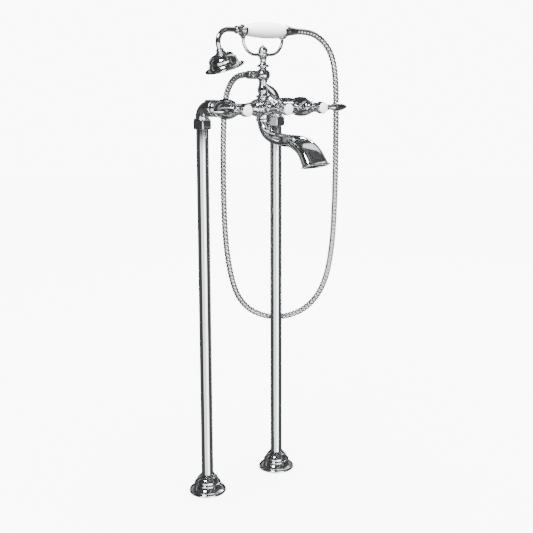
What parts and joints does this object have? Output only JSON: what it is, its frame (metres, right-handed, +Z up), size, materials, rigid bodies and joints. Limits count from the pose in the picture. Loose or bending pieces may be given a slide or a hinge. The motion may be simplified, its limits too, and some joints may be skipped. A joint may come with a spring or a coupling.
{
  "type": "floor standing bath filler",
  "caption": "Floor standing bath filler: floor risers carry a lever mixer with a swivel spout, a cradle and a porcelain handset on a ribbed hose.",
  "frame": {"origin": "on the floor, at the middle of the four screw holes of the two floor plates, midway between the risers", "axes": "+Z up along the risers, -Y towards the bath and the spout, +X towards the cold side"},
  "size_m": [0.3914, 0.3474, 1.0473],
  "materials": {
    "chrome": "polished",
    "chrome_plate": "polished",
    "hose_chrome": "polished",
    "porcelain": "glazed white",
    "brass": "machined",
    "steel": "zinc plated",
    "rubber": "matt",
    "fibre": "matt"
  },
  "bodies": {
    "root": {"bonnet_cold": "chrome", "bonnet_diverter": "chrome", "bonnet_hot": "chrome", "cartridge_cold": "brass", "cartridge_diverter": "brass", "cartridge_hot": "brass", "column_nut": "chrome", "cradle_fork": "chrome", "cradle_post": "chrome", "cradle_saddles": "chrome", "elbow_cold": "chrome", "elbow_hot": "chrome", "escutcheon_cold": "chrome", "escutcheon_hot": "chrome", "escutcheon_rings": "rubber", "finial": "chrome", "floor_plate_cold": "steel", "floor_plate_hot": "steel", "grub_screws": "brass", "hose": "hose_chrome", "hose_nut_rear": "chrome", "mixer_body": "chrome", "riser_cold": "chrome", "riser_hot": "chrome", "riser_nut_cold": "chrome", "riser_nut_hot": "chrome", "riser_seals": "rubber", "sealing_washers": "fibre", "spout_collar": "chrome", "swivel_ball": "chrome", "union_nut_cold": "chrome", "union_nut_hot": "chrome"},
    "hot_handle": {"stem_hot": "brass", "lever_hot": "chrome", "handle_screw_hot": "steel", "button_rim_hot": "chrome", "button_hot": "porcelain"},
    "cold_handle": {"stem_cold": "brass", "lever_cold": "chrome", "handle_screw_cold": "steel", "button_rim_cold": "chrome", "button_cold": "porcelain"},
    "diverter_handle": {"stem_diverter": "brass", "lever_diverter": "chrome", "handle_screw_diverter": "steel", "button_rim_diverter": "chrome", "button_diverter": "porcelain"},
    "swivel_spout": {"spout": "chrome", "spout_seal": "rubber"},
    "handset": {"grip": "porcelain", "grip_tube": "brass", "grip_ring": "chrome", "grip_ferrule": "chrome", "gooseneck": "chrome", "rose_collar": "chrome", "rose_bell": "chrome", "rose_face": "chrome_plate", "hose_nut_handset": "chrome"}
  },
  "joints": [
    {"name": "hot_lever", "type": "hinge", "parent": "root", "child": "hot_handle", "pos_m": [-0.1, -0.15, 0.87], "axis": [0, -1, 0], "range_deg": [0, 90]},
    {"name": "cold_lever", "type": "hinge", "parent": "root", "child": "cold_handle", "pos_m": [0.1, -0.15, 0.87], "axis": [0, 1, 0], "range_deg": [0, 90]},
    {"name": "diverter_lever", "type": "hinge", "parent": "root", "child": "diverter_handle", "pos_m": [0, -0.155, 0.87], "axis": [0, 1, 0], "range_deg": [0, 90]},
    {"name": "spout_swivel", "type": "hinge", "parent": "root", "child": "swivel_spout", "pos_m": [0, -0.0836, 0.85], "axis": [0, 0, 1], "range_deg": [-35, 35]},
    {"name": "handset_lift", "type": "slide", "parent": "root", "child": "handset", "axis": [0, 0, 1], "range_m": [0, 0.08], "deforming": ["hose"]}
  ]
}
